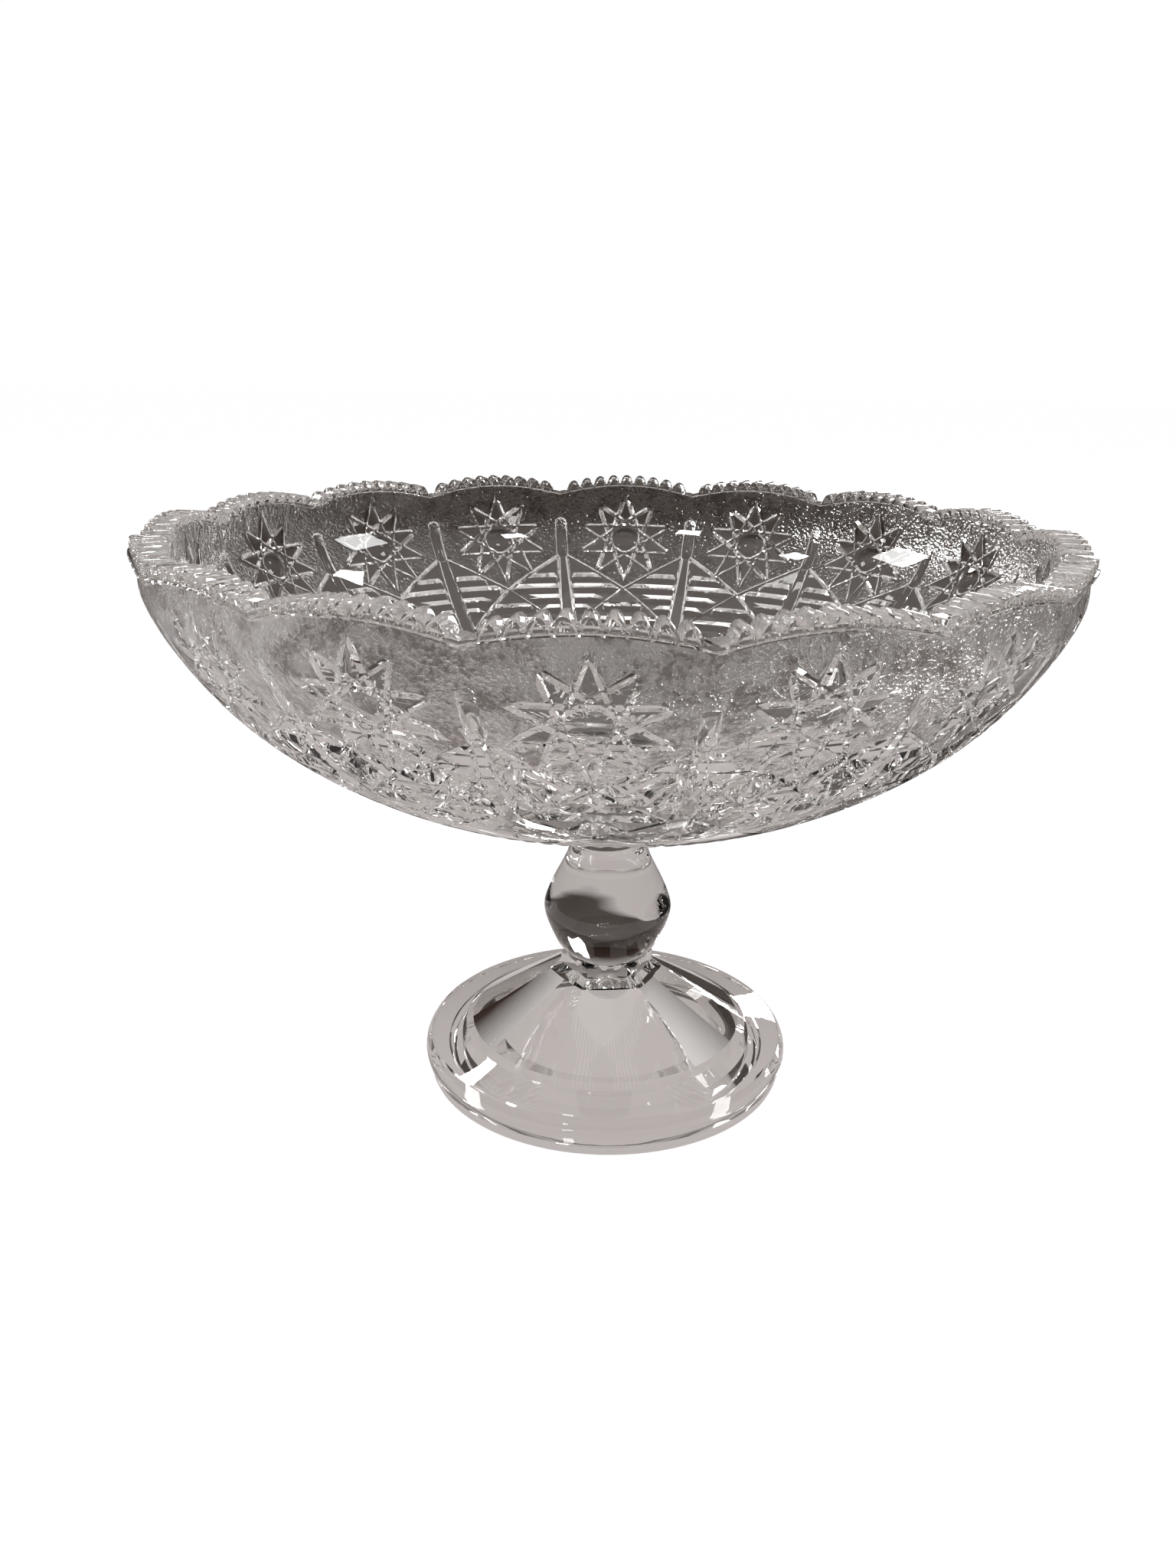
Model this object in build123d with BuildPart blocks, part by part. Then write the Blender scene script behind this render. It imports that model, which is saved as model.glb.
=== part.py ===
"""Footed punch bowl of pressed glass: a scalloped bowl bonded to a knopped pedestal.

Millimetres, +Z up.  The origin is the centre of the foot's resting plane, and the middle of one
scallop faces -Y.  The pedestal is one pressing: foot, collar, knop and neck.  The bowl is a second
pressing, and a thin film of clear adhesive joins the two at the top of the neck.
"""
from build123d import *
from math import atan, cos, radians, sin, tan
import os

os.makedirs("parts", exist_ok=True)

# ---- joint between the two pressings ------------------------------------------------------------
joint_height = 97.0         # top of the pedestal, where the adhesive sits
joint_radius = 17.0         # flat seats above and below the film
bond_thickness = 0.2        # cured adhesive film
bond_setback = 0.5          # the film stops this far inside the seats' edge

# ---- bowl ---------------------------------------------------------------------------------------
rim_radius = 150.0          # outer wall at the height of the rim
bowl_depth = 96.2           # from the rim between two scallops down to the seat
rim_wall = 8.5              # glass at the rim
bowl_wall = 8.0             # glass half way down
base_thickness = 13.5       # glass over the neck
scallops = 16
scallop_rise = 2.6          # the middle of a scallop over the notch beside it
rim_lean = 0.6              # the wall still leans out by this much above its last point
cut_margin = 1.0            # how far a cut runs past the glass

# points of the outer wall: share of the rim's radius, share of the bowl's depth
wall_shares = [(0.333, 0.103), (0.700, 0.342), (0.933, 0.703), (1.0, 0.895)]
seat_slope = (1, 0.2)       # the wall's direction where it leaves the seat
shoulder_slope = (0.18, 1)  # and where it meets the rim
rim_wall_share = 0.96       # the inner wall starts to follow the outer one here
bowl_wall_shares = (0.80, 0.55, 0.25)

# ---- teeth along each scallop -------------------------------------------------------------------
teeth = 9
tooth_pitch = 2.23          # degrees from tooth to tooth
tooth_width = 5.2
tooth_height = 4.5          # over the rim beside it
tooth_proud = 2.4           # stands out of the wall
tooth_root = 1.5            # starts inside the rim
tooth_setback = 0.3         # behind the inner wall

# ---- flutes between the panels ------------------------------------------------------------------
flute_width = 4.4
flute_depth = 1.0
flute_start = 0.10          # where the flute runs out near the seat, as a share of the wall's length
flute_end = 0.93            # where it stops below the rim

# ---- pedestal -----------------------------------------------------------------------------------
foot_radius = 65.0          # outer edge of the resting ring
ring_width = 9.0            # land that the foot rests on
hollow_wall = 11.0          # glass between the foot's cone and the hollow under it, straight down
dome_radius = 7.0           # rounded top of the hollow
foot_step_height = 4.0      # step between the resting ring and the band
foot_step = 0.9             # the band's overhang at the step
band_bulge = 0.9            # the band's belly over its lower edge
foot_rim_setback = 1.9      # upper edge of the band, inside its lower edge
foot_rim_height = 14.0
cone_radius = 52.0          # where the flat rim meets the faceted cone
cone_height = 16.8
facets = 6                  # sides of the collar and of the cone below it
facet_turn = -52.0          # direction of one corner, in degrees
collar_radius = 16.8        # to a corner
collar_bottom = 40.0
collar_top = 44.0
knop_foot_radius = 15.0
knop_foot_height = 45.2
knop_radius = 23.0
knop_height = 63.0
knop_shoulder_radius = 19.6
knop_shoulder_height = 73.0
neck_radius = 13.8
neck_height = 88.0
leaf_middle = 0.20          # the leaf-shaped flats on the knop, as a share of the stem's length
leaf_length = 16.0
leaf_depth = 0.35


def radial_plane(azimuth, distance=0.0):
    """A plane square to a radius: local x runs round the bowl and local y is up."""
    outwards = Vector(cos(radians(azimuth)), sin(radians(azimuth)), 0)
    round_the_bowl = Vector(-outwards.Y, outwards.X, 0)
    return Plane(origin=outwards * distance, x_dir=round_the_bowl, z_dir=outwards)


def upright_plane(azimuth):
    """A plane through the axis: local x runs outwards and local y is up."""
    outwards = Vector(cos(radians(azimuth)), sin(radians(azimuth)), 0)
    return Plane(origin=(0, 0, 0), x_dir=outwards, z_dir=(outwards.Y, -outwards.X, 0))


def beside(curve, share, distance):
    """A point at a share of a wall curve, moved square to it, towards the inside of the bowl."""
    along = curve % share
    return curve @ share + Vector(-along.Y, along.X) * distance


# ---- bowl ---------------------------------------------------------------------------------------
bowl_bottom = joint_height + bond_thickness
notch_height = bowl_bottom + bowl_depth
crest_height = notch_height + scallop_rise
blank_height = crest_height + cut_margin
inner_rim_radius = rim_radius - rim_wall
floor_height = bowl_bottom + base_thickness
panel_angle = 360 / scallops
panel_azimuths = [panel_angle * k - 90 for k in range(scallops)]
panel_half_width = (rim_radius + cut_margin) * sin(radians(panel_angle / 2))

# the outer wall: a low cone over the seat that turns up into a nearly upright rim
outer_wall = [(joint_radius, bowl_bottom)]
for radius_share, depth_share in wall_shares:
    outer_wall.append((rim_radius * radius_share, bowl_bottom + bowl_depth * depth_share))

with BuildPart() as bowl:
    with BuildSketch(Plane.XZ):
        with BuildLine():
            wall = Spline(*outer_wall, tangents=[seat_slope, shoulder_slope])
            rim_side = Line(wall @ 1, (rim_radius + rim_lean, blank_height))
            rim_top = Line(rim_side @ 1, (inner_rim_radius, blank_height))
            inner_wall = Spline(
                rim_top @ 1,
                beside(wall, rim_wall_share, rim_wall),
                *[beside(wall, share, bowl_wall) for share in bowl_wall_shares],
                tangents=[(0, -1), -(wall % bowl_wall_shares[-1])],
            )
            floor_reach = (inner_wall @ 1).X / 3
            inner_floor = Bezier(
                inner_wall @ 1,
                inner_wall @ 1 + (inner_wall % 1) * floor_reach,
                (floor_reach, floor_height),
                (0, floor_height),
            )
            Polyline(inner_floor @ 1, (0, bowl_bottom), wall @ 0)
        make_face()
    revolve(axis=Axis.Z)

    # the curved edge of each scallop: the air over it is cut away
    with BuildSketch(*[radial_plane(azimuth) for azimuth in panel_azimuths]):
        with BuildLine():
            edge = ThreePointArc((-panel_half_width, notch_height), (0, crest_height),
                                 (panel_half_width, notch_height))
            Polyline(edge @ 1, (panel_half_width, blank_height + cut_margin),
                     (-panel_half_width, blank_height + cut_margin), edge @ 0)
        make_face()
    extrude(amount=rim_radius + rim_wall, mode=Mode.SUBTRACT)

    # a flute under every notch, as deep all the way down
    with BuildSketch(*[upright_plane(azimuth + panel_angle / 2) for azimuth in panel_azimuths]):
        with BuildLine():
            stations = [flute_start + (flute_end - flute_start) * k / 4 for k in range(5)]
            floor = Spline(*[beside(wall, share, flute_depth) for share in stations])
            air = Spline(*[beside(wall, share, -3 * flute_depth) for share in reversed(stations)])
            Line(floor @ 1, air @ 0)
            Line(air @ 1, floor @ 0)
        make_face()
    extrude(amount=flute_width / 2, both=True, mode=Mode.SUBTRACT)

    # round-topped teeth across the rim, each on its own radius
    tooth_start = inner_rim_radius + tooth_setback
    for tooth in range(teeth):
        turn = tooth_pitch * (tooth - (teeth - 1) / 2)
        share = rim_radius * sin(radians(turn)) / panel_half_width
        beside_height = notch_height + scallop_rise * (1 - share**2)
        straight = tooth_root + tooth_height - tooth_width / 2
        planes = [radial_plane(azimuth + turn, tooth_start) for azimuth in panel_azimuths]
        with BuildSketch(*planes):
            with Locations((0, beside_height - tooth_root)):
                Rectangle(tooth_width, straight, align=(Align.CENTER, Align.MIN))
            with Locations((0, beside_height - tooth_root + straight)):
                Circle(tooth_width / 2)
        extrude(amount=rim_radius + tooth_proud - tooth_start)

bowl.part.label = "bowl"

# ---- adhesive film ------------------------------------------------------------------------------
with BuildPart() as neck_bond:
    with BuildSketch(Plane.XY.offset(joint_height)):
        Circle(joint_radius - bond_setback)
    extrude(amount=bond_thickness)

neck_bond.part.label = "neck_bond"

# ---- pedestal -----------------------------------------------------------------------------------
band_radius = foot_radius + foot_step
band_middle = (foot_step_height + foot_rim_height) / 2
hollow_radius = foot_radius - ring_width

with BuildPart() as pedestal:
    # foot: resting ring, step, bellied band and flat rim
    with BuildSketch(Plane.XZ):
        with BuildLine():
            ring = Line((foot_radius, 0), (foot_radius, foot_step_height))
            step = Line(ring @ 1, (band_radius, foot_step_height))
            band = ThreePointArc(step @ 1, (band_radius + band_bulge, band_middle),
                                 (band_radius - foot_rim_setback, foot_rim_height))
            rim = Line(band @ 1, (cone_radius, cone_height))
            Polyline(rim @ 1, (0, cone_height), (0, 0), ring @ 0)
        make_face()
    revolve(axis=Axis.Z)

    # faceted cone: a circle on the foot that turns into the collar's corners
    with BuildSketch(Plane.XY.offset(cone_height)):
        Circle(cone_radius)
    with BuildSketch(Plane.XY.offset(collar_bottom)):
        RegularPolygon(collar_radius, facets, rotation=facet_turn)
    loft()

    # collar
    with BuildSketch(Plane.XY.offset(collar_bottom)):
        RegularPolygon(collar_radius, facets, rotation=facet_turn)
    extrude(amount=collar_top - collar_bottom)

    # knop and neck
    with BuildSketch(Plane.XZ):
        with BuildLine():
            stem = Spline(
                (knop_foot_radius, knop_foot_height),
                (knop_radius, knop_height),
                (knop_shoulder_radius, knop_shoulder_height),
                (neck_radius, neck_height),
                (joint_radius, joint_height),
                tangents=[(0.6, 1), (0, 1), (-0.5, 1), (0, 1), (0.8, 1)],
            )
            Polyline(stem @ 1, (0, joint_height), (0, collar_top),
                     (knop_foot_radius, collar_top), stem @ 0)
        make_face()
    revolve(axis=Axis.Z)

    # a leaf-shaped flat over each corner of the collar, on the knop's lower half
    flat_azimuths = [facet_turn + 360 / facets * k for k in range(facets)]
    with BuildSketch(*[upright_plane(azimuth) for azimuth in flat_azimuths]):
        with BuildLine():
            along = stem % leaf_middle
            touch = stem @ leaf_middle + Vector(-along.Y, along.X) * leaf_depth
            reach = along * leaf_length
            outside = Vector(along.Y, -along.X) * leaf_length / 2
            Polyline(touch - reach / 2, touch + reach / 2, touch + reach / 2 + outside,
                     touch - reach / 2 + outside, touch - reach / 2)
        make_face()
    extrude(amount=leaf_length / 2, both=True, mode=Mode.SUBTRACT)

    # the hollow under the foot
    with BuildSketch(Plane.XZ):
        with BuildLine():
            slope = (collar_bottom - cone_height) / (cone_radius - collar_radius)
            skirt = Line((hollow_radius, 0), (cone_radius, cone_height - hollow_wall))
            dome_foot = collar_bottom - hollow_wall + (collar_radius - dome_radius) * slope
            side = Line(skirt @ 1, (dome_radius, dome_foot))
            dome_top = dome_foot + dome_radius * tan(atan(slope) / 2)
            dome = TangentArc(side @ 1, (0, dome_top), tangent=(-1, slope))
            Polyline(dome @ 1, (0, 0), skirt @ 0)
        make_face()
    revolve(axis=Axis.Z, mode=Mode.SUBTRACT)

pedestal.part.label = "pedestal"

for piece in (bowl.part, neck_bond.part, pedestal.part):
    export_step(piece, f"parts/{piece.label}.step")
    box = piece.bounding_box()
    print(piece.label, len(piece.solids()), round(piece.volume), box.min, box.max)
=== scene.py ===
# %% [markdown]
# # A footed pressed-glass punch bowl
# The real bowl is pressed in two moulds: a wide bowl with a scalloped, toothed rim and
# a star pressed into each of its sixteen panels, and a pedestal with a round knop and a
# faceted foot. The two are bonded with a thin clear film. The imported model gives the
# sizes and places, so it is loaded first.

# %% Load the imported model
import math
import bpy
import bmesh
from mathutils import Matrix, Vector


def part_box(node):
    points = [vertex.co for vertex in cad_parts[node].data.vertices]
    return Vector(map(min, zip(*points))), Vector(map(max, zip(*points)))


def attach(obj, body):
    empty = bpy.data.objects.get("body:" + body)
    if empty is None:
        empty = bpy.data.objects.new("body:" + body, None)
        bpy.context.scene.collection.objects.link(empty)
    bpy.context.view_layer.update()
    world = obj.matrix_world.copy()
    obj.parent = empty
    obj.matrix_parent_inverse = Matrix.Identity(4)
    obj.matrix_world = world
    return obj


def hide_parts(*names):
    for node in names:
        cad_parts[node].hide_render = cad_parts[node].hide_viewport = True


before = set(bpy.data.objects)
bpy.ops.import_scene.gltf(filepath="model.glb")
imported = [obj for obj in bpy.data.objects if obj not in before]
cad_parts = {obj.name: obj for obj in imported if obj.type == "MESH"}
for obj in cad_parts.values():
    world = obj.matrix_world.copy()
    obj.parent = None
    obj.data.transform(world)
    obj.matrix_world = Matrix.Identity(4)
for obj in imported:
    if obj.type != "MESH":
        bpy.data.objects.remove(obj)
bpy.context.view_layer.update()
MM = 0.001
scene = bpy.context.scene
print("packed nodes:", sorted(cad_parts))

# %% [markdown]
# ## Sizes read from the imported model
# Everything below is worked out in millimetres and turned to metres when a piece is
# finished. The bowl's box gives the seat's height, the top of the teeth and how far they
# stand out. The pedestal's box gives the foot.

# %% Read the main sizes
bowl_low, bowl_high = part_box("bowl")
pedestal_low, pedestal_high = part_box("pedestal")
bond_low, bond_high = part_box("neck_bond")
tooth_top = bowl_high.z / MM
tooth_reach = bowl_high.x / MM
seat_level = bowl_low.z / MM
joint_level = pedestal_high.z / MM
foot_reach = pedestal_high.x / MM
joint_radius = 17.0
bond_radius = bond_high.x / MM
print(f"teeth to {tooth_top:.1f} mm high and {tooth_reach:.1f} mm out, seat at {seat_level:.1f} mm")

# %% [markdown]
# ## The camera
# A phone held a little above the rim, close to the bowl, so the near side of the rim
# looks low and wide. It is turned and tipped by a few degrees, as a hand-held one is.
# The lens is given by its focal length on a 36 mm high frame.

# %% Place the camera
CAMERA_DISTANCE = 0.4388
CAMERA_HEIGHT = 0.26007
LOOK_DOWN = 0.33179
LOOK_ASIDE = -0.00184
TILT = 0.01711
BOWL_TURN = -0.0342
LENS = 30.18
SIDE_SHIFT = -0.01234

camera_data = bpy.data.cameras.new("camera")
camera = bpy.data.objects.new("camera", camera_data)
scene.collection.objects.link(camera)
camera_data.sensor_fit = "VERTICAL"
camera_data.sensor_height = 36
camera_data.lens = LENS
camera_data.shift_x = SIDE_SHIFT
camera_data.clip_start = 0.01
turn = Matrix.Rotation(-BOWL_TURN, 4, "Z")
stand = Matrix.Translation((0, -CAMERA_DISTANCE, CAMERA_HEIGHT))
aim = Matrix.Rotation(-LOOK_ASIDE, 4, "Z") @ Matrix.Rotation(math.pi / 2 - LOOK_DOWN, 4, "X")
camera.matrix_world = turn @ stand @ aim @ Matrix.Rotation(TILT, 4, "Z")
scene.camera = camera
print("camera at", tuple(round(c, 3) for c in camera.matrix_world.translation))

# %% [markdown]
# ## Helpers for colours and nodes
# Colours are written as sRGB hex values and turned to linear once, in one function. One
# small function adds a node, sets it and links it.

# %% Colour and node helpers
def linear(hex_colour):
    """The linear colour, with alpha 1, of an sRGB hex value."""
    shares = [int(hex_colour[i:i + 2], 16) / 255 for i in (1, 3, 5)]
    return [s / 12.92 if s <= 0.04045 else ((s + 0.055) / 1.055) ** 2.4 for s in shares] + [1.0]


def add_node(tree, kind, links=(), inputs=(), **settings):
    """A new node in tree. links are (socket, from node's socket), inputs are (socket, value)."""
    node = tree.nodes.new(kind)
    for name, value in settings.items():
        setattr(node, name, value)
    for socket, value in inputs:
        node.inputs[socket].default_value = value
    for socket, source in links:
        tree.links.new(source, node.inputs[socket])
    return node


def new_material(name):
    """An empty node material and its tree."""
    material = bpy.data.materials.new(name)
    material.use_nodes = True
    material.node_tree.nodes.clear()
    return material, material.node_tree


# %% [markdown]
# ## Polished soda-lime glass
# Pressed glass for tableware is soda-lime glass. The mould leaves it fire-polished:
# perfectly clear inside, with a skin that is a little wavy over several millimetres, so
# that highlights wander. Its index of refraction is 1.52. Light from the lamps passes
# straight through it, so that the table under the bowl isn't left in a black shadow.

# %% Polished glass
GLASS_IOR = 1.52
GLASS_TINT = linear("#f3f2f0")      # nearly water-clear, a trace warm
LAMP_TINT = linear("#d8d4d0")       # what is left of a lamp's light below the bowl
PATCH_GRAINS = 6                    # a patch of painted pit shade is this many grains wide
# Painted pit shade: full below the first value of the summed noises, none above the second.
SHADE_MASK_LOW, SHADE_MASK_HIGH = 0.8, 1.08
WAVE_LENGTH = 9 * MM
WAVE_HEIGHT = 0.03 * MM


def lets_through(tree, shader):
    """Ends a glass material's tree: lamps shine straight through, and all else sees shader."""
    path = add_node(tree, "ShaderNodeLightPath")
    through = add_node(tree, "ShaderNodeBsdfTransparent", inputs=[("Color", LAMP_TINT)])
    mix = add_node(tree, "ShaderNodeMixShader",
                   links=[("Fac", path.outputs["Is Shadow Ray"]), (1, shader.outputs["BSDF"]),
                          (2, through.outputs["BSDF"])])
    add_node(tree, "ShaderNodeOutputMaterial", links=[("Surface", mix.outputs["Shader"])])


def glass(name, roughness, grain, grain_height, painted_pit_shade=None):
    """Clear glass whose skin has a grain of that size and height, both in metres. The last
    argument, if given, is the colour of a painted shade on the grain's low places, standing
    in for the light that the pits bend away."""
    material, tree = new_material(name)
    place = add_node(tree, "ShaderNodeTexCoord")
    noise = add_node(tree, "ShaderNodeTexNoise", links=[("Vector", place.outputs["Object"])],
                     inputs=[("Scale", 1 / grain), ("Detail", 2.0), ("Roughness", 0.6)])
    bump = add_node(tree, "ShaderNodeBump", links=[("Height", noise.outputs["Fac"])],
                    inputs=[("Distance", grain_height), ("Strength", 1.0)])
    shader = add_node(tree, "ShaderNodeBsdfPrincipled", links=[("Normal", bump.outputs["Normal"])],
                      inputs=[("Base Color", GLASS_TINT), ("Roughness", roughness),
                              ("IOR", GLASS_IOR), ("Transmission Weight", 1.0)])
    if painted_pit_shade:
        # Painted shade: the glass's colour is darkened towards the given colour in the grain's low
        # places.
        patches = add_node(tree, "ShaderNodeTexNoise", links=[("Vector", place.outputs["Object"])],
                           inputs=[("Scale", 1 / (PATCH_GRAINS * grain)), ("Detail", 1.0)])
        both = add_node(tree, "ShaderNodeMath", operation="ADD",
                        links=[(0, noise.outputs["Fac"]), (1, patches.outputs["Fac"])])
        ramp = add_node(tree, "ShaderNodeMapRange", links=[("Value", both.outputs["Value"])],
                        inputs=[("From Min", SHADE_MASK_LOW), ("From Max", SHADE_MASK_HIGH)])
        pit_shade_mix = add_node(tree, "ShaderNodeMix", data_type="RGBA", links=[(0, ramp.outputs["Result"])],
                        inputs=[(6, painted_pit_shade), (7, linear("#ffffff"))])
        tree.links.new(pit_shade_mix.outputs[2], shader.inputs["Base Color"])
    lets_through(tree, shader)
    return material


polished_glass = glass("fire_polished_soda_lime_glass", 0.0, WAVE_LENGTH, WAVE_HEIGHT)
print("made", polished_glass.name)

# %% [markdown]
# ## Stippled glass
# The ground round each star is pressed against a pecked mould, so its skin is covered in
# shallow pits. It is clear glass, but it scatters what is behind it into an even grey, and
# it glitters where a pit faces a window. The pits could be modelled, but they are far too
# many, so they are a bump. They are drawn coarser than real ones, and their low places get
# a painted grey shade, which clear glass doesn't have: it stands in for the light that the
# pits bend away, so that they still read from a distance.

# %% Stippled glass
PIT_ROUGHNESS = 0.07
PIT_SIZE = 1.3 * MM
PIT_DEPTH = 0.7 * MM
# The colour of the painted shade in the stippling's low places.
PIT_SHADE = linear("#857d78")
stippled_glass = glass("stippled_soda_lime_glass", PIT_ROUGHNESS, PIT_SIZE, PIT_DEPTH,
                       PIT_SHADE)
print("made", stippled_glass.name)

# %% [markdown]
# ## A smooth line through a few points
# Walls and stems are given by the few points that fix their shape. The line between them
# is a cubic that leaves each point parallel to the line between its neighbours.

# %% Smooth line helper
class SmoothLine:
    """A smooth line through (radius, height) points, read by the length along it."""

    def __init__(self, points):
        self.points = [Vector(p) for p in points]
        self.lengths = [0.0]
        for a, b in zip(self.points, self.points[1:]):
            self.lengths.append(self.lengths[-1] + (b - a).length)
        last = len(points) - 1
        self.slopes = []
        for i in range(len(points)):
            before, after = max(i - 1, 0), min(i + 1, last)
            run = self.lengths[after] - self.lengths[before]
            self.slopes.append((self.points[after] - self.points[before]) / run)
        self.length = self.lengths[-1]

    def at(self, length):
        length = min(max(length, 0.0), self.length)
        i = max(k for k in range(len(self.points) - 1) if self.lengths[k] <= length + 1e-9)
        run = self.lengths[i + 1] - self.lengths[i]
        t = (length - self.lengths[i]) / run
        near = self.points[i] * (1 + 2 * t) * (1 - t) ** 2 + self.slopes[i] * run * t * (1 - t) ** 2
        far = self.points[i + 1] * t * t * (3 - 2 * t) - self.slopes[i + 1] * run * t * t * (1 - t)
        return near + far

    def outward(self, length):
        """The unit direction away from the glass, to the right of the way up the line."""
        step = 0.5
        run = self.at(length + step) - self.at(length - step)
        return Vector((run.y, -run.x)).normalized()


outer_wall = SmoothLine([(joint_radius, seat_level), (50, 107.1), (80, 116.5), (105, 130.1),
                         (125, 146.2), (140, 164.8), (149.6, 183.3), (150.2, 196)])
inner_wall = SmoothLine([(0, 110.7), (30, 112.0), (57.5, 118), (87.4, 128), (105.6, 142),
                         (123, 158), (136, 172), (140.8, 183), (141.5, 190.5)])
print(f"outer wall {outer_wall.length:.1f} mm, inner wall {inner_wall.length:.1f} mm")

# %% [markdown]
# ## The bowl's panels
# Sixteen equal panels go round the bowl. One is drawn flat, as a sheet that is as wide
# as the panel at star height, then its lines are cut, its grooves are pushed in, and it
# is wrapped on to the wall. Drawing it flat keeps every groove straight and crisp.

# %% Panel layout
PANELS = 16
PANEL_ANGLE = 2 * math.pi / PANELS
FLAT_RADIUS = 147.0
HALF_WIDTH = FLAT_RADIUS * PANEL_ANGLE / 2
EDGE_STRAIGHT_TO = 160.0
BEAD_CROWN = 196.0
BEAD_DROP = 4.2
BEAD_LINE = outer_wall.length

COLUMNS = 12
relief_rows = [BEAD_LINE * i / 26 for i in range(27)]


def bead_level(x):
    """The bead's height at a place across the flat panel: high in the middle."""
    return BEAD_CROWN - BEAD_DROP * (x / HALF_WIDTH) ** 2


print(f"a flat panel is {2 * HALF_WIDTH:.1f} mm wide and {BEAD_LINE:.1f} mm up to the bead")

# %% [markdown]
# ## The rim's teeth
# Each scallop carries nine teeth. A tooth is a bar across the rim with an arched end, and
# its outer end has a smaller arch sunk into it. The last tooth of one scallop and the
# first of the next leave a notch.

# %% Tooth layout
TEETH = 9
TOOTH_PITCH = math.radians(2.23) * FLAT_RADIUS
TOOTH_HALF = 0.43 * TOOTH_PITCH
TOOTH_HEIGHT = tooth_top - BEAD_CROWN
VALLEY_RISE = 1.0
NOTCH_RISE = 1.5
LAST_TOOTH = (TEETH - 1) / 2
arch_shares = [0.0, 0.3, 0.56, 0.78, 0.93, 1.0]


def tooth_rise(x):
    """How far the rim's top stands above the bead at a place across the panel."""
    number = max(-LAST_TOOTH, min(LAST_TOOTH, round(x / TOOTH_PITCH)))
    across = abs(x - number * TOOTH_PITCH) / TOOTH_HALF
    if across < 1:
        return VALLEY_RISE + (TOOTH_HEIGHT - VALLEY_RISE) * (1 - across ** 2.2) ** 0.62
    notch = min(max((abs(x) / TOOTH_PITCH - LAST_TOOTH - 0.5) * 4, 0), 1)
    return VALLEY_RISE + (NOTCH_RISE - VALLEY_RISE) * notch


def rim_row(row, x):
    """(radius, height) of a row of the rim, from the bead over the teeth to the inner wall."""
    bead = bead_level(x)
    rise = tooth_rise(x)
    crown = 0.2 * min(rise - 0.8, 1.6)
    return [(tooth_reach - 0.5, bead - 0.35), (tooth_reach, bead + 0.15),
            (tooth_reach - 0.15, bead + 0.65), (tooth_reach - 0.75, bead + 0.75),
            (tooth_reach - 0.75, bead + rise - crown), (tooth_reach - 1.5, bead + rise),
            (142.7, bead + rise), (141.9, bead + rise - crown * 1.5),
            (141.5, 190.5)][row]


RIM_ROWS = 9
inner_steps = [inner_wall.length * i / 20 for i in range(19, 0, -1)]
print(f"{TEETH} teeth a scallop, {TOOTH_HALF * 2:.1f} mm wide and {TOOTH_HEIGHT:.1f} mm high")

# %% [markdown]
# ## Grooves
# Every cut in the pattern is a straight V-shaped groove with a middle line, two edges and
# ends that fade out. The same few values cut the sheet and push its points in.

# %% Groove helpers
grooves = []


def stretched(point):
    """A point given in true millimetres at its height, moved to its place on the flat panel."""
    radius = outer_wall.at(point[1]).x
    return Vector((point[0] * FLAT_RADIUS / radius, point[1], 0))


def add_groove(start, end, half_width=0.9, depth=1.0, fade=3.0, true_size=False):
    """Notes a groove from start to end. true_size says its ends are in true millimetres."""
    if true_size:
        start, end = stretched(start), stretched(end)
    grooves.append({"start": Vector((*start[:2], 0)), "end": Vector((*end[:2], 0)),
                    "half": half_width, "depth": depth, "fade": fade})


def groove_depth(groove, point):
    """How deep a groove is at a point of the flat panel, or 0 outside it."""
    run = groove["end"] - groove["start"]
    length = run.length
    along = (point - groove["start"]).dot(run) / length
    if along <= 0 or along >= length:
        return 0.0
    aside = abs((point - groove["start"]).cross(run).z) / length
    if aside >= groove["half"]:
        return 0.0
    fade = 1.0
    if groove["fade"]:
        fade = min(along / groove["fade"], (length - along) / groove["fade"], 1.0)
    return groove["depth"] * fade * (1 - aside / groove["half"])


# %% [markdown]
# ## The star
# Ten straight grooves join each of ten points to the fourth one on, which draws a star
# with a round clear button in the middle that the grooves just touch.

# %% Star grooves
STAR_POINTS = 10
STAR_SKIP = 4
STAR_RADIUS = 21.2
STAR_GROOVE = {"half_width": 1.05, "depth": 1.05, "fade": 4.0}
STAR_MIDDLE = Vector((0, 152.6))
BUTTON_RADIUS = STAR_RADIUS * math.cos(math.pi * STAR_SKIP / STAR_POINTS)
star_tips = []
for number in range(STAR_POINTS):
    angle = math.pi / 2 + number * 2 * math.pi / STAR_POINTS
    star_tips.append(STAR_MIDDLE + STAR_RADIUS * Vector((math.cos(angle), math.sin(angle))))
for number in range(STAR_POINTS):
    add_groove(star_tips[number], star_tips[(number + STAR_SKIP) % STAR_POINTS],
               **STAR_GROOVE, true_size=True)
print(f"{len(grooves)} star grooves round a button of radius {BUTTON_RADIUS:.1f} mm")


def in_star(point):
    """True inside the star's outline: it lies outside fewer than STAR_SKIP of its lines."""
    radius = outer_wall.at(point.y).x
    place = Vector((point.x * radius / FLAT_RADIUS, point.y)) - STAR_MIDDLE
    if place.length > STAR_RADIUS:
        return False
    outside = 0
    for number in range(STAR_POINTS):
        angle = math.pi / 2 + (number + STAR_SKIP / 2) * 2 * math.pi / STAR_POINTS
        outside += place.dot(Vector((math.cos(angle), math.sin(angle)))) > BUTTON_RADIUS
    return outside < STAR_SKIP


# %% [markdown]
# ## Flutes, ribs and crossing lines
# A short round-topped flute stands between two panels. Two lines run down from it and
# two long diagonals cross below the star, with prism steps in the side triangles and
# fans of short cuts below.

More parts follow.
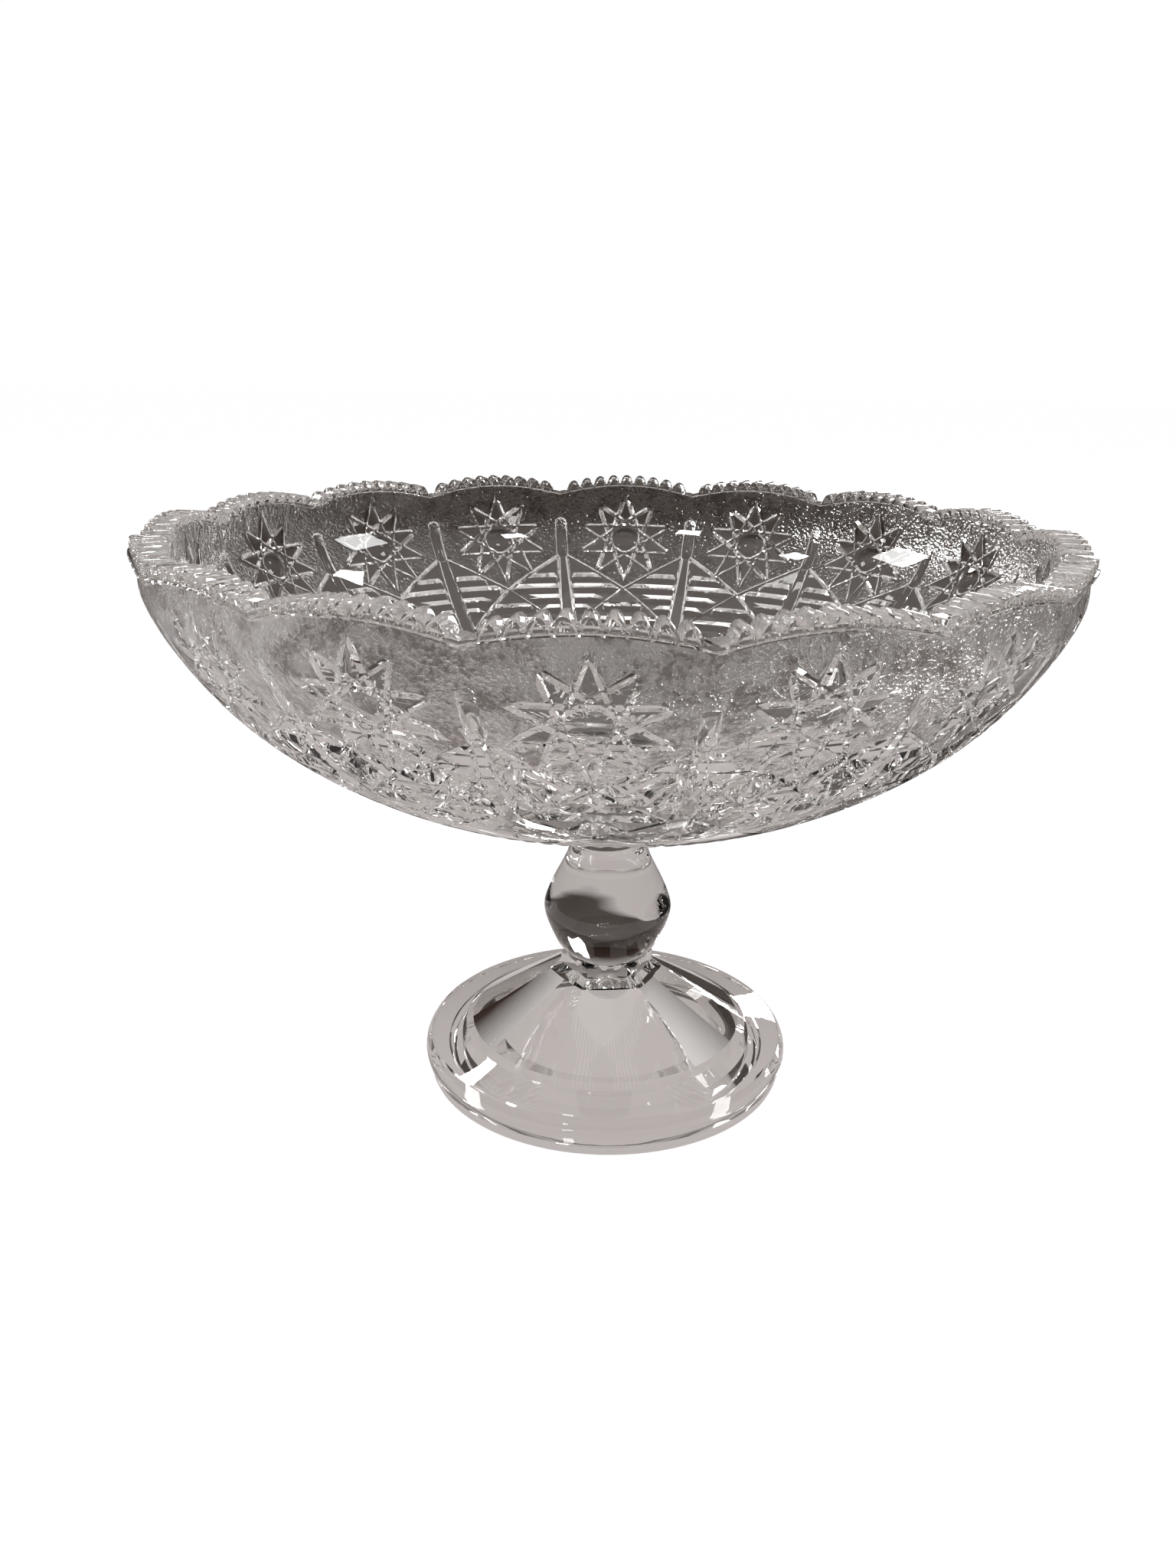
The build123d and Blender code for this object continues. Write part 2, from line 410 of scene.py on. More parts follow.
# %% Lines below the star
FLUTE_TOP = 164.0
FLUTE_LOW = 143.5
FLUTE_HALF = 2.6
FLUTE_DEPTH = 1.1
DIAGONAL_HIGH = (26.4, 144.0)
DIAGONAL_CROSS = (0.0, 127.6)
DIAGONAL_LOW = (24.6, 108.4)
LATTICE_LOW = (0.0, 91.0)
RIB = {"half_width": 0.8, "depth": 0.8, "fade": 2.0}
STEP = {"half_width": 2.7, "depth": 1.7, "fade": 1.0}
FAN = {"half_width": 1.2, "depth": 0.9}
SEAT_FLUTE = {"half_width": HALF_WIDTH / 6, "depth": 1.3, "fade": 24}
for side in (-1, 1):
    add_groove((side * 27.2, 149), (side * 25.0, 106), **RIB)
    add_groove((side * DIAGONAL_HIGH[0], DIAGONAL_HIGH[1]), DIAGONAL_CROSS, fade=0)
    add_groove(DIAGONAL_CROSS, (-side * DIAGONAL_LOW[0], DIAGONAL_LOW[1]), fade=0)
    add_groove((side * DIAGONAL_LOW[0], DIAGONAL_LOW[1]), LATTICE_LOW, fade=0)
    add_groove(LATTICE_LOW, (-side * HALF_WIDTH, 74), fade=0)
    for height in (133.0, 127.6, 122.2, 117.0):
        reach = abs(height - DIAGONAL_CROSS[1]) * 1.5 + 2.0
        add_groove((side * reach, height), (side * 26.0, height), **STEP)
    add_groove((side * 2, 106), (side * 13, 97), **FAN)
    add_groove((side * 26, 101), (side * 15, 88), **FAN)
    add_groove((side * 28, 98), (side * 21, 82), **FAN)
    for share in (1, 3, 5):
        place = side * share * HALF_WIDTH / 6
        add_groove((place, 76), (place, 14), **SEAT_FLUTE)
for height in (118.0, 110.5):
    reach = (DIAGONAL_CROSS[1] - height) * 1.25 - 1.0
    add_groove((-reach, height), (reach, height), **STEP)
add_groove((0, 108), (0, 93), **FAN)
for reach in (-7, 7):
    add_groove((reach * 0.3, 107), (reach, 95), **FAN)
print(len(grooves), "grooves in a panel")


# %% [markdown]
# ## Cutting the flat sheet
# A groove's middle and both edges are cut into the sheet with bisect, and only in the
# faces that the line crosses, so the rest of the sheet stays coarse.

# %% Cut helpers
def crosses(face, start, direction, length):
    """True if the line from start, of that length, passes over the face's box."""
    side = Vector((-direction.y, direction.x, 0))
    along = [(v.co - start).dot(direction) for v in face.verts]
    aside = [(v.co - start).dot(side) for v in face.verts]
    return min(along) < length and max(along) > 0 and min(aside) < -0.01 and max(aside) > 0.01


def cut(sheet, start, end, faces=None):
    """Cuts the sheet's faces along the straight line from start to end."""
    run = end - start
    direction = run.normalized()
    near = [f for f in (faces or sheet.faces) if crosses(f, start, direction, run.length)]
    parts = set(near)
    for face in near:
        parts.update(face.edges)
        parts.update(face.verts)
    if near:
        bmesh.ops.bisect_plane(sheet, geom=list(parts), dist=0.03, plane_co=start,
                               plane_no=Vector((-direction.y, direction.x, 0)))


def cut_groove(sheet, groove):
    """Cuts a groove's middle and edges, and a line across each end that fades for long."""
    run = (groove["end"] - groove["start"]).normalized()
    side = Vector((-run.y, run.x, 0)) * groove["half"]
    for offset in (-1, 0, 1):
        cut(sheet, groove["start"] + side * offset, groove["end"] + side * offset)
    if groove["fade"] > 2.5:
        for end, way in ((groove["start"], run), (groove["end"], -run)):
            place = end + way * groove["fade"]
            cut(sheet, place - side * 1.1, place + side * 1.1)


# %% [markdown]
# ## The flat sheet
# The sheet starts as one row of edges along the seat. Each further row is an extrusion:
# up the outer wall, round the bead and over the teeth, and down the inner wall.

# %% Make the sheet
RIM_STEP = 4.0
panel = bmesh.new()
zone = panel.faces.layers.int.new("zone")
GROUND, CLEAR, BEAD, TOOTH_FACE, TOOTH_BAR, INSIDE = range(6)
row_verts = [panel.verts.new((-HALF_WIDTH + 2 * HALF_WIDTH * i / COLUMNS, 0, 0))
             for i in range(COLUMNS + 1)]
row_edges = [panel.edges.new(pair) for pair in zip(row_verts, row_verts[1:])]


def extend_sheet(edges, height, kind):
    """Extrudes the sheet's last row of edges to a height and marks the new faces."""
    made = bmesh.ops.extrude_edge_only(panel, edges=edges)["geom"]
    for vert in (g for g in made if isinstance(g, bmesh.types.BMVert)):
        vert.co.y = height
    for face in (g for g in made if isinstance(g, bmesh.types.BMFace)):
        face[zone] = kind
    return [g for g in made if isinstance(g, bmesh.types.BMEdge)
            and all(abs(v.co.y - height) < 0.01 for v in g.verts)]


for height in relief_rows[1:]:
    row_edges = extend_sheet(row_edges, height, GROUND)
rim_kinds = [BEAD, BEAD, BEAD, BEAD, TOOTH_FACE, TOOTH_BAR, TOOTH_BAR, TOOTH_BAR, INSIDE]
for row, kind in enumerate(rim_kinds):
    row_edges = extend_sheet(row_edges, BEAD_LINE + (row + 1) * RIM_STEP, kind)
INNER_LINE = BEAD_LINE + RIM_ROWS * RIM_STEP
for number in range(len(inner_steps)):
    row_edges = extend_sheet(row_edges, INNER_LINE + (number + 1) * RIM_STEP, INSIDE)
print(len(panel.faces), "faces in the plain sheet")

# %% [markdown]
# ## The teeth's columns
# A tooth's arch needs points across it, and the panel below doesn't. So the columns are
# cut only into the rim's rows, close together where the arch is steep.

# %% Cut the teeth's columns into the rim's rows
tooth_columns = set()
for number in range(TEETH):
    middle = (number - LAST_TOOTH) * TOOTH_PITCH
    for share in arch_shares:
        tooth_columns.update((middle - share * TOOTH_HALF, middle + share * TOOTH_HALF))
for side in (-1, 1):
    tooth_columns.add(side * (LAST_TOOTH + 0.75) * TOOTH_PITCH)
bottom, top = BEAD_LINE + 0.01, INNER_LINE - 0.01
for column in sorted(tooth_columns):
    faces = [f for f in panel.faces if bottom < f.calc_center_median().y < top]
    cut(panel, Vector((column, bottom, 0)), Vector((column, top, 0)), faces)
print(len(panel.faces), "faces with the teeth's columns")

# %% [markdown]
# ## Cutting the pattern
# The grooves are straight cuts. The button in the middle of a star is a shallow round
# dish, cut as a ring of short straight lines, with a smaller ring for its curve.

# %% Cut the grooves and the button
BUTTON_EDGE = 0.93                  # the dish's radius, as a share of the button's
BUTTON_RING = 0.55
for groove in grooves:
    cut_groove(panel, groove)


def cut_round(middle, radius, sides, first=0.0, last=2 * math.pi):
    """Cuts a round outline, given in true millimetres, as short straight cuts."""
    places = []
    for number in range(sides + 1):
        angle = first + (last - first) * number / sides
        places.append(stretched((middle[0] + radius * math.cos(angle),
                                 middle[1] + radius * math.sin(angle))))
    for a, b in zip(places, places[1:]):
        cut(panel, a, b)


cut_round(STAR_MIDDLE, BUTTON_RADIUS * BUTTON_EDGE, 16)
cut_round(STAR_MIDDLE, BUTTON_RADIUS * BUTTON_RING, 10)
print(len(panel.faces), "faces with grooves and button")

# %% [markdown]
# ## The flutes
# A flute is a round-bottomed trough with round ends, half of it on each side of the seam
# between two panels. Its outline is cut at three widths, so that its bottom is curved.

# %% Cut the flutes
FLUTE_RINGS = (0.55, 0.87, 1.0)
flute_top_middle = FLUTE_TOP - FLUTE_HALF


def flute_depth(point):
    """How deep the flute at the panel's edge is at a point: a round-bottomed trough."""
    radius = outer_wall.at(point.y).x
    aside = (HALF_WIDTH - abs(point.x)) * radius / FLAT_RADIUS
    over = max(point.y - flute_top_middle, FLUTE_LOW + FLUTE_HALF - point.y, 0)
    away = math.hypot(aside, over) / FLUTE_HALF
    return FLUTE_DEPTH * math.sqrt(max(1 - away * away, 0))


for side in (-1, 1):
    for share in FLUTE_RINGS:
        places = []
        for degrees in range(0, 91, 18):
            angle = math.radians(degrees)
            aside = FLUTE_HALF * share * math.cos(angle)
            height = flute_top_middle + FLUTE_HALF * share * math.sin(angle)
            across = HALF_WIDTH - aside * FLAT_RADIUS / outer_wall.at(height).x
            places.append(Vector((side * across, height, 0)))
        for degrees in (30, 60, 90):
            angle = math.radians(degrees)
            aside = FLUTE_HALF * share * math.cos(angle)
            height = FLUTE_LOW + FLUTE_HALF - FLUTE_HALF * share * math.sin(angle)
            across = HALF_WIDTH - aside * FLAT_RADIUS / outer_wall.at(height).x
            places.insert(0, Vector((side * across, height, 0)))
        aside = FLUTE_HALF * share * FLAT_RADIUS / outer_wall.at(FLUTE_LOW + FLUTE_HALF).x
        places.insert(3, Vector((side * (HALF_WIDTH - aside), FLUTE_LOW + FLUTE_HALF, 0)))
        for a, b in zip(places, places[1:]):
            cut(panel, a, b)
print(len(panel.faces), "faces with all cuts")


# %% [markdown]
# ## Which skin a face has
# The ground above the crossing lines is stippled, and the star, the flute's lower end,
# the lines and all that lies below them are polished.

# %% Mark the polished faces
FLUTE_MARGIN = 3.2
FLUTE_CLEAR_TO = 157


def is_clear(point):
    """True where the outer wall is polished, and false on the stippled ground."""
    slope = (DIAGONAL_HIGH[1] - DIAGONAL_CROSS[1]) / DIAGONAL_HIGH[0]
    if point.y < DIAGONAL_CROSS[1] + abs(point.x) * slope:
        return True
    if HALF_WIDTH - abs(point.x) < FLUTE_MARGIN and point.y < FLUTE_CLEAR_TO:
        return True
    return in_star(point) or any(groove_depth(g, point) > 0.05 for g in grooves)


for face in panel.faces:
    if face[zone] == GROUND:
        face[zone] = CLEAR if is_clear(face.calc_center_median()) else GROUND
print(sum(f[zone] == CLEAR for f in panel.faces), "polished faces in the relief")

# %% [markdown]
# ## One face for each tooth's end
# The arched end of a tooth is joined to a single face, so that it can be inset later. The
# rest is triangulated while it is still flat, where the cuts are exact.

# %% Join the tooth ends and triangulate the rest
for number in range(TEETH):
    middle = (number - LAST_TOOTH) * TOOTH_PITCH
    ends = [f for f in panel.faces if f[zone] == TOOTH_FACE
            and abs(f.calc_center_median().x - middle) < TOOTH_HALF]
    kept = bmesh.ops.dissolve_faces(panel, faces=ends)["region"]
    for face in kept:
        face[zone] = TOOTH_FACE
tooth_ends = [f for f in panel.faces if f[zone] == TOOTH_FACE and len(f.verts) > 8]
others = [f for f in panel.faces if f not in set(tooth_ends)]
bmesh.ops.triangulate(panel, faces=others, quad_method="BEAUTY", ngon_method="BEAUTY")
print(len(tooth_ends), "tooth ends,", len(panel.faces), "faces in the flat panel")


# %% [markdown]
# ## Wrapping the panel
# Each point is pushed in by the deepest groove over it, then placed at its radius, height
# and angle. Near the bead the sheet is squeezed so that its top follows the scallop.

# %% Wrap the panel on to the wall
DISH_DEPTH = 0.7


def relief(point):
    """How far a point of the outer wall is pushed into the glass."""
    depth = max(groove_depth(g, point) for g in grooves)
    depth = max(depth, flute_depth(point))
    radius = outer_wall.at(point.y).x
    away = (Vector((point.x * radius / FLAT_RADIUS, point.y)) - STAR_MIDDLE).length
    dish = max(1 - (away / (BUTTON_RADIUS * BUTTON_EDGE)) ** 2, 0) * DISH_DEPTH
    return max(depth, dish)


def wrapped(point):
    """The (radius, height) of a point of the flat sheet."""
    height = point.y
    if height <= BEAD_LINE + 0.001:
        length = height
        if height > EDGE_STRAIGHT_TO:
            top = outer_wall.length - (BEAD_CROWN - bead_level(point.x))
            share = (height - EDGE_STRAIGHT_TO) / (BEAD_LINE - EDGE_STRAIGHT_TO)
            length = EDGE_STRAIGHT_TO + share * (top - EDGE_STRAIGHT_TO)
        return outer_wall.at(length) - outer_wall.outward(length) * relief(point)
    row = round((height - BEAD_LINE) / RIM_STEP) - 1
    if row < RIM_ROWS:
        return Vector(rim_row(row, point.x))
    return inner_wall.at(inner_steps[row - RIM_ROWS])


for vert in panel.verts:
    angle = vert.co.x / FLAT_RADIUS
    place = wrapped(vert.co)
    vert.co = (place.x * math.sin(angle), -place.x * math.cos(angle), place.y)
print("wrapped", len(panel.verts), "points")

# %% [markdown]
# ## The arch in each tooth's end
# The mould sinks a smaller arch into the outer end of each tooth. It is an inset of the
# end's single face, then a second, narrow one that is pushed in for its wall.

# %% Sink the small arch into each tooth's end
ARCH_BORDER = 0.8
ARCH_WALL = 0.4
ARCH_SINK = 1.2
bmesh.ops.recalc_face_normals(panel, faces=panel.faces)
middle_end = min(tooth_ends, key=lambda f: abs(f.calc_center_median().x))
if middle_end.normal.y > 0:
    bmesh.ops.reverse_faces(panel, faces=panel.faces)
bmesh.ops.inset_individual(panel, faces=tooth_ends, thickness=ARCH_BORDER)
bmesh.ops.inset_individual(panel, faces=tooth_ends, thickness=ARCH_WALL, depth=-ARCH_SINK)
bmesh.ops.triangulate(panel, faces=[f for f in panel.faces if len(f.verts) > 4])
print(len(panel.faces), "faces in the wrapped panel")

# %% [markdown]
# ## The whole bowl
# The panel is copied and turned fifteen times, the seams are merged, and the seat below
# and the middle inside are closed. Creases are kept sharp and all else is shaded smooth.

# %% Join sixteen panels
SEAM_GAP = 0.02
part = list(panel.verts) + list(panel.edges) + list(panel.faces)
for number in range(1, PANELS):
    copy = bmesh.ops.duplicate(panel, geom=part)["geom"]
    bmesh.ops.rotate(panel, verts=[g for g in copy if isinstance(g, bmesh.types.BMVert)],
                     cent=(0, 0, 0), matrix=Matrix.Rotation(number * PANEL_ANGLE, 3, "Z"))
bmesh.ops.remove_doubles(panel, verts=panel.verts, dist=SEAM_GAP)
bmesh.ops.holes_fill(panel, edges=[e for e in panel.edges if e.is_boundary], sides=0)
print(sum(e.is_boundary for e in panel.edges), "open edges,",
      sum(len(e.link_faces) > 2 for e in panel.edges), "edges with three faces")

# %% [markdown]
# ## Finishing a piece
# Each piece ends in the same way: faces outwards, smooth shading with the mould's sharp
# creases kept, and one object at the origin that holds its own place in its mesh.

# %% Finish helpers
def finish_shell(shell, crease_degrees):
    """Outward faces, smooth shading, sharp creases, and metres in place of millimetres."""
    bmesh.ops.recalc_face_normals(shell, faces=shell.faces)
    for face in shell.faces:
        face.smooth = True
    limit = math.radians(crease_degrees)
    for edge in shell.edges:
        edge.smooth = edge.calc_face_angle(0) < limit
    bmesh.ops.scale(shell, verts=shell.verts, vec=(MM, MM, MM))


def make_piece(name, shell, materials):
    """An object at the origin from a finished bmesh, with its materials in order."""
    mesh = bpy.data.meshes.new(name)
    shell.to_mesh(mesh)
    shell.free()
    for material in materials:
        mesh.materials.append(material)
    piece = bpy.data.objects.new(name, mesh)
    scene.collection.objects.link(piece)
    print(f"{name}: {len(mesh.polygons)} faces")
    return piece


# %% [markdown]
# ## The bonded faces
# A clear bond fills the gap between bowl and pedestal, and its index is so near the
# glass's that the bonded faces can't be seen. They are given an index of 1, which lets
# light straight through, so that the neck reads as one piece of glass.

# %% Bonded glass
bonded_glass, bonded_tree = new_material("optically_bonded_glass_face")
bonded_shader = add_node(bonded_tree, "ShaderNodeBsdfPrincipled",
                         inputs=[("Base Color", linear("#ffffff")), ("Roughness", 0.0), ("IOR", 1.0),
                                 ("Transmission Weight", 1.0)])
lets_through(bonded_tree, bonded_shader)
print("made", bonded_glass.name)

# %% [markdown]
# ## The bowl piece
# One pressing with three skins: polished glass, the stippled ground, and the seat that is
# bonded to the neck.

# %% The bowl piece
CREASE = 24
POLISHED, STIPPLED, BONDED = range(3)
for face in panel.faces:
    face.material_index = STIPPLED if face[zone] == GROUND else POLISHED
finish_shell(panel, CREASE)
for face in panel.faces:
    if face.calc_center_median().z < (seat_level + 0.05) * MM:
        face.material_index = BONDED
bowl_glass = make_piece("bowl_glass", panel, [polished_glass, stippled_glass, bonded_glass])
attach(bowl_glass, "root")
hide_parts("bowl")

# %% [markdown]
# ## The pedestal
# One pressing: a foot with a hollow underneath, a stepped band and a flat rim, a shallow
# six-sided cone, a six-sided collar, a round knop and a neck that flares to the joint.
# Its outline is spun, then the cone and collar are drawn in to six flats.

# %% Pedestal outline
FACETS = 6
FACET_TURN = math.radians(-52)
RING_WIDTH = 9.0
HOLLOW_WALL = 11.0
DOME_RADIUS = 7.0
FOOT_RADIUS = 65.0
STEP_LEVEL = 4.0
FOOT_RIM_RADIUS = foot_reach - 2.6
FOOT_RIM_LEVEL = 14.0
CONE_RADIUS = 52.0
CONE_LEVEL = 16.8
COLLAR_RADIUS = 16.8
COLLAR_LOW = 40.0
COLLAR_HIGH = 44.0
stem = SmoothLine([(15.0, 45.2), (17.8, 48.9), (20.0, 53.3), (21.9, 58), (23.0, 63),
                   (22.1, 67), (19.6, 73), (17.1, 78), (14.6, 83.5), (13.8, 88),
                   (15.0, 93), (joint_radius, joint_level)])
hollow_rise = FOOT_RADIUS - RING_WIDTH
slope = (COLLAR_LOW - CONE_LEVEL) / (CONE_RADIUS - COLLAR_RADIUS)
dome_curve = DOME_RADIUS / math.sin(math.atan(slope))
dome_foot = COLLAR_LOW - HOLLOW_WALL + (COLLAR_RADIUS - DOME_RADIUS) * slope
dome_top = dome_foot + DOME_RADIUS * math.tan(math.atan(slope) / 2)
outline = []
for number in range(8):
    radius = DOME_RADIUS * number / 8
    outline.append((radius, dome_top - dome_curve + math.sqrt(dome_curve ** 2 - radius ** 2)))
for number in range(8):
    share = number / 7
    outline.append((DOME_RADIUS + (CONE_RADIUS - DOME_RADIUS) * share,
                    dome_foot + (CONE_LEVEL - HOLLOW_WALL - dome_foot) * share))
outline += [(hollow_rise - 0.2, 0.5), (hollow_rise + 0.5, 0)]
outline += [(FOOT_RADIUS - 1.2, 0), (FOOT_RADIUS - 0.35, 0.35)]
outline += [(FOOT_RADIUS, 1.2), (FOOT_RADIUS, STEP_LEVEL - 0.5), (FOOT_RADIUS - 0.4, STEP_LEVEL)]
outline += [(FOOT_RADIUS + 0.6, STEP_LEVEL + 0.3)]
bulge = foot_reach - FOOT_RADIUS - 0.9
for number in range(7):
    share = number / 6
    outline.append((FOOT_RADIUS + 0.9 + bulge * math.sin(math.pi * share) - 1.0 * share ** 4,
                    STEP_LEVEL + 0.6 + (FOOT_RIM_LEVEL - STEP_LEVEL - 1.0) * share))
outline += [(FOOT_RIM_RADIUS, FOOT_RIM_LEVEL + 0.1), (FOOT_RIM_RADIUS - 1.5, FOOT_RIM_LEVEL + 0.45)]
outline += [(CONE_RADIUS + 1, CONE_LEVEL - 0.25), (CONE_RADIUS, CONE_LEVEL)]
for number in range(1, 11):
    share = number / 10
    outline.append((CONE_RADIUS + (COLLAR_RADIUS - CONE_RADIUS) * share,
                    CONE_LEVEL + (COLLAR_LOW - CONE_LEVEL) * share))
outline += [(COLLAR_RADIUS, (COLLAR_LOW + COLLAR_HIGH) / 2), (COLLAR_RADIUS, COLLAR_HIGH)]
stem_steps = 34
outline += [tuple(stem.at(stem.length * i / stem_steps)) for i in range(stem_steps + 1)]
print(len(outline), "points in the pedestal's outline")

# %% [markdown]
# ## Spinning the pedestal
# The outline is spun all the way round, as its mould was turned. The cone and the collar
# are then drawn in to six flats, since the mould was cut flat there.

# %% Spin the pedestal
SPIN_STEPS = 96
pedestal = bmesh.new()
outline_verts = [pedestal.verts.new((max(r, 0) * math.cos(FACET_TURN),
                                     max(r, 0) * math.sin(FACET_TURN), z)) for r, z in outline]
outline_edges = [pedestal.edges.new(pair) for pair in zip(outline_verts, outline_verts[1:])]
bmesh.ops.spin(pedestal, geom=outline_verts + outline_edges, cent=(0, 0, 0), axis=(0, 0, 1),
               angle=2 * math.pi, steps=SPIN_STEPS, use_merge=True, use_duplicate=False)
bmesh.ops.remove_doubles(pedestal, verts=pedestal.verts, dist=0.001)
bmesh.ops.holes_fill(pedestal, edges=[e for e in pedestal.edges if e.is_boundary], sides=0)


def hexagon_share(angle):
    """The flat-sided radius as a share of the corner radius, in a direction."""
    wedge = 2 * math.pi / FACETS
    place = (angle - FACET_TURN) % wedge - wedge / 2
    return math.cos(wedge / 2) / math.cos(place)


for vert in pedestal.verts:
    radius = math.hypot(vert.co.x, vert.co.y)
    if radius < 1 or vert.co.z < CONE_LEVEL + 0.01 or vert.co.z > stem.at(0).y - 0.01:
        continue
    share = min((vert.co.z - CONE_LEVEL) / (COLLAR_LOW - CONE_LEVEL), 1)
    flat = COLLAR_RADIUS * hexagon_share(math.atan2(vert.co.y, vert.co.x))
    wanted = CONE_RADIUS + (flat - CONE_RADIUS) * share
    vert.co.x *= wanted / radius
    vert.co.y *= wanted / radius
print(len(pedestal.faces), "faces in the pedestal")

# %% [markdown]
# ## The leaves on the knop
# Six flat leaves are pressed into the lower half of the knop, one over each corner of the
# collar. Each is a plane that takes a thin slice off, so it is cut with bisect first and
# the points beyond it are laid on the plane.

# %% Press the leaves
LEAF_MIDDLE = stem.length * 0.20
LEAF_DEPTH = 0.35
LEAF_REACH = 14
PEDESTAL_CREASE = 14
leaf_place = stem.at(LEAF_MIDDLE)
leaf_way = stem.outward(LEAF_MIDDLE)
for number in range(FACETS):
    angle = FACET_TURN + number * 2 * math.pi / FACETS
    around = Vector((math.cos(angle), math.sin(angle), 0))
    normal = around * leaf_way.x + Vector((0, 0, leaf_way.y))
    middle = around * leaf_place.x + Vector((0, 0, leaf_place.y))
    plane = middle - normal * LEAF_DEPTH
    near = [f for f in pedestal.faces if (f.calc_center_median() - middle).length < LEAF_REACH
            and f.calc_center_median().z > COLLAR_HIGH + 1.5]
    parts = set(near)
    for face in near:
        parts.update(face.edges)
        parts.update(face.verts)
    bmesh.ops.bisect_plane(pedestal, geom=list(parts), dist=0.01, plane_co=plane, plane_no=normal)
    for vert in pedestal.verts:
        beyond = (vert.co - plane).dot(normal)
        if beyond > 0 and (vert.co - middle).length < LEAF_REACH and vert.co.z > COLLAR_HIGH + 1.0:
            vert.co -= normal * beyond
bmesh.ops.triangulate(pedestal, faces=[f for f in pedestal.faces if len(f.verts) > 4])
finish_shell(pedestal, PEDESTAL_CREASE)
for face in pedestal.faces:
    face.material_index = 1 if face.calc_center_median().z > (joint_level - 0.02) * MM else 0
pedestal_glass = make_piece("pedestal_glass", pedestal, [polished_glass, bonded_glass])
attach(pedestal_glass, "root")
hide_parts("pedestal")

# %% [markdown]
# ## The bond film
# A disc of clear light-cured adhesive, a fifth of a millimetre thick. Its flat faces are
# bonded ones and its thin edge is glossy acrylic.

# %% The bond film piece
ADHESIVE_IOR = 1.50
adhesive, adhesive_tree = new_material("light_cured_acrylic_adhesive")
adhesive_place = add_node(adhesive_tree, "ShaderNodeTexCoord")
adhesive_noise = add_node(adhesive_tree, "ShaderNodeTexNoise",
                          links=[("Vector", adhesive_place.outputs["Object"])],
                          inputs=[("Scale", 1 / (2 * MM)), ("Detail", 1.0)])
adhesive_bump = add_node(adhesive_tree, "ShaderNodeBump",
                         links=[("Height", adhesive_noise.outputs["Fac"])],
                         inputs=[("Distance", 0.02 * MM), ("Strength", 1.0)])
adhesive_shader = add_node(adhesive_tree, "ShaderNodeBsdfPrincipled",
                           links=[("Normal", adhesive_bump.outputs["Normal"])],
                           inputs=[("Base Color", linear("#f4f2ee")), ("Roughness", 0.08),
                                   ("IOR", ADHESIVE_IOR), ("Transmission Weight", 1.0)])
lets_through(adhesive_tree, adhesive_shader)

film = bmesh.new()
disc = bmesh.ops.create_circle(film, cap_ends=True, segments=96, radius=bond_radius,
                               matrix=Matrix.Translation((0, 0, bond_low.z / MM)))
grown = bmesh.ops.extrude_face_region(film, geom=list(film.faces))["geom"]
bmesh.ops.translate(film, verts=[g for g in grown if isinstance(g, bmesh.types.BMVert)],
                    vec=(0, 0, (bond_high.z - bond_low.z) / MM))
finish_shell(film, 30)
for face in film.faces:
    face.material_index = 1 if abs(face.normal.z) > 0.5 else 0
neck_film = make_piece("neck_film", film, [adhesive, bonded_glass])
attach(neck_film, "root")
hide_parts("neck_bond")

# %% [markdown]
# ## The floor
# A plain pale floor. The camera sees it as a clean white studio sweep, while the glass
# refracts a softer lilac-grey table that turns dark brown past its edge. No real floor
# does both: it is staged, because glass reads only against light and dark.

# %% Floor
TABLE_TURN = math.radians(18)
TABLE_STRENGTH = 0.8
SWEEP_STRENGTH = 0.98
floor_mesh = bmesh.new()
bmesh.ops.create_circle(floor_mesh, cap_ends=True, segments=64, radius=6000)
bmesh.ops.scale(floor_mesh, verts=floor_mesh.verts, vec=(MM, MM, MM))
TABLE_EDGE = 0.125
floor_paper, floor_tree = new_material("pale_paper_sweep")
seen_by = add_node(floor_tree, "ShaderNodeLightPath")
table_tone = add_node(floor_tree, "ShaderNodeBsdfDiffuse", inputs=[("Color", linear("#3a3837"))])
table_place = add_node(floor_tree, "ShaderNodeTexCoord")
table_turn = add_node(floor_tree, "ShaderNodeMapping",
                      links=[("Vector", table_place.outputs["Object"])],
                      inputs=[("Rotation", (0, 0, TABLE_TURN))])
table_depth = add_node(floor_tree, "ShaderNodeSeparateXYZ",
                       links=[("Vector", table_turn.outputs["Vector"])])
table_edge = add_node(floor_tree, "ShaderNodeMapRange",
                      links=[("Value", table_depth.outputs["Y"])],
                      inputs=[("From Min", TABLE_EDGE), ("From Max", TABLE_EDGE + 0.01)])
table_colour = add_node(floor_tree, "ShaderNodeMix", data_type="RGBA",
                        links=[(0, table_edge.outputs["Result"])],
                        inputs=[(6, linear("#cfc8c7")), (7, linear("#2a201b"))])
table_glow = add_node(floor_tree, "ShaderNodeEmission",
                      links=[("Color", table_colour.outputs[2])],
                      inputs=[("Strength", TABLE_STRENGTH)])
table = add_node(floor_tree, "ShaderNodeAddShader",
                 links=[(0, table_tone.outputs["BSDF"]), (1, table_glow.outputs["Emission"])])
sweep_glow = add_node(floor_tree, "ShaderNodeEmission",
                      inputs=[("Color", linear("#ffffff")), ("Strength", SWEEP_STRENGTH)])
sweep_tone = add_node(floor_tree, "ShaderNodeBsdfDiffuse", inputs=[("Color", linear("#303030"))])
sweep = add_node(floor_tree, "ShaderNodeAddShader",
                 links=[(0, sweep_glow.outputs["Emission"]), (1, sweep_tone.outputs["BSDF"])])
floor_mix = add_node(floor_tree, "ShaderNodeMixShader",
                     links=[("Fac", seen_by.outputs["Is Camera Ray"]), (1, table.outputs["Shader"]),
                            (2, sweep.outputs["Shader"])])
add_node(floor_tree, "ShaderNodeOutputMaterial", links=[("Surface", floor_mix.outputs["Shader"])])
